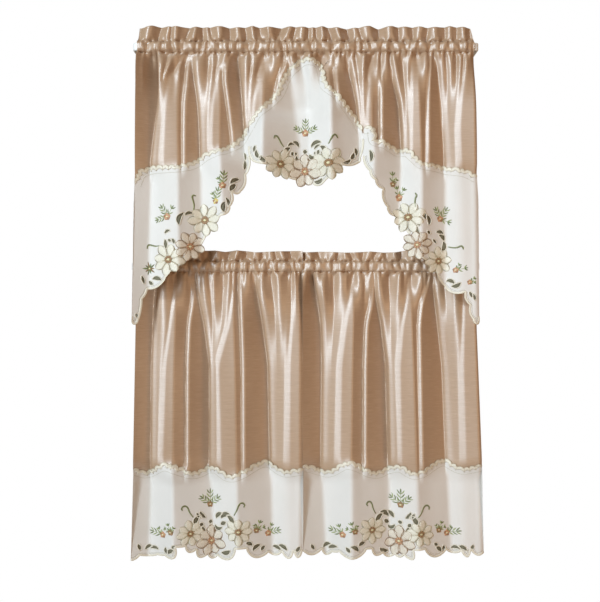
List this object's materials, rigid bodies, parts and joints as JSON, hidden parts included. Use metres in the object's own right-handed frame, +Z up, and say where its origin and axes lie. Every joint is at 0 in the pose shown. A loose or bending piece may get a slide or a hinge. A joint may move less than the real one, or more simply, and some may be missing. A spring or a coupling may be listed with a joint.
{
  "type": "kitchen curtain set on two curtain rods",
  "caption": "Gathered satin kitchen curtains on flat rods: a swag valance with white embroidered swags over a pair of tiers with white borders.",
  "frame": {"origin": "point on the wall behind the middle of the valance rod, at the height of that rod", "axes": "+Z up, +X to the right as the set is seen from the room, +Y from the room towards the wall"},
  "size_m": [1.0421, 0.1873, 1.5573],
  "materials": {
    "satin": "slubbed satin with a soft sheen",
    "white_cloth": "matt plain weave with cream satin-stitched scallops",
    "rod": "smooth white enamel"
  },
  "bodies": {
    "root": {"valance_rod": "rod", "tier_rod": "rod", "valance_satin": "satin", "valance_swag_left": "white_cloth", "valance_centre": "white_cloth", "valance_swag_right": "white_cloth", "tier_satin_left": "satin", "tier_satin_right": "satin", "tier_border_left": "white_cloth", "tier_border_right": "white_cloth"}
  },
  "joints": []
}
